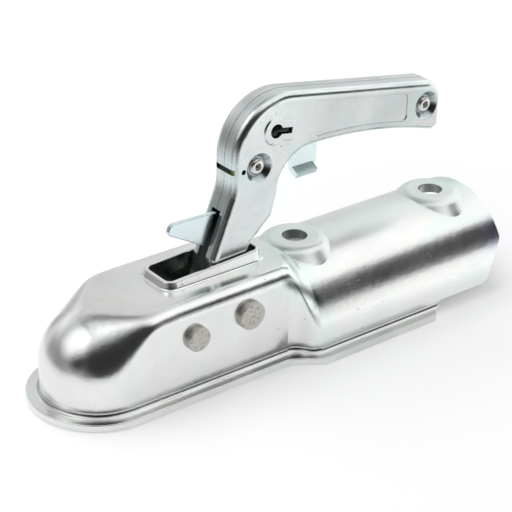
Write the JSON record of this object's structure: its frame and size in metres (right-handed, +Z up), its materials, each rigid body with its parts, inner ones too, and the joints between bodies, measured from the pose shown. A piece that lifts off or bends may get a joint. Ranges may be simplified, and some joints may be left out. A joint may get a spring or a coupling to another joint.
{
  "type": "trailer coupling head",
  "caption": "Pressed-steel ball coupling head for a round draw tube, with a lifting handle that opens the ball clamp and a safety latch that holds the handle shut.",
  "frame": {"origin": "under the centre of the ball socket, on the plane of the flange's underside", "axes": "+X backwards along the draw tube, +Y to the right side seen from the rear, +Z up"},
  "size_m": [0.2672, 0.0904, 0.1317],
  "materials": {
    "zinc_pressing": "bright zinc plate with faint rainbow tints and small scuffs",
    "zinc_handle": "bright zinc plate",
    "zinc_latch": "zinc-plated plate",
    "zinc_rivet": "zinc-plated rivet",
    "rivet_steel": "matt pitted rivet heads",
    "bush_steel": "plain turned steel",
    "spring_steel": "dark oiled spring wire",
    "forged_steel": "dull forged steel",
    "indicator_paint": "yellow-green paint"
  },
  "bodies": {
    "housing": {"housing": "zinc_pressing", "clamp_pivot_pin": "rivet_steel", "clamp_bush": "bush_steel", "clamp_spacer_left": "bush_steel", "clamp_spacer_right": "bush_steel", "handle_pivot_pin": "rivet_steel", "pivot_bush_left": "bush_steel", "pivot_bush_right": "bush_steel", "pivot_washer": "bush_steel", "pivot_spacer": "bush_steel", "main_spring": "spring_steel"},
    "handle": {"handle_half_left": "zinc_handle", "handle_half_right": "zinc_handle", "cam_pin": "bush_steel", "latch_rivet": "zinc_rivet", "latch_bush": "bush_steel", "latch_spacer": "bush_steel", "latch_spring": "spring_steel", "grip_rivet": "zinc_rivet", "grip_spacer": "bush_steel", "indicator_strip": "indicator_paint"},
    "clamp": {"ball_clamp": "forged_steel"},
    "latch": {"safety_latch": "zinc_latch"}
  },
  "joints": [
    {"name": "handle_swing", "type": "hinge", "parent": "housing", "child": "handle", "pos_m": [0.0677, 0, 0.0332], "axis": [0, -1, 0], "range_deg": [0, 36], "stiffness_Nm_per_rad": 0.8, "springref_deg": -22.92, "deforming": ["main_spring"]},
    {"name": "clamp_swing", "type": "hinge", "parent": "housing", "child": "clamp", "pos_m": [0.0363, 0, 0.031], "axis": [0, -1, 0], "range_deg": [0, 14.5]},
    {"name": "latch_swing", "type": "hinge", "parent": "handle", "child": "latch", "pos_m": [0.0875, 0, 0.0975], "axis": [0, -1, 0], "range_deg": [0, 18.1], "deforming": ["latch_spring"]}
  ],
  "couplings": [
    {"joint": "clamp_swing", "follows": "handle_swing", "ratio": 0.4},
    {"joint": "latch_swing", "follows": "handle_swing", "ratio": 0.5}
  ]
}
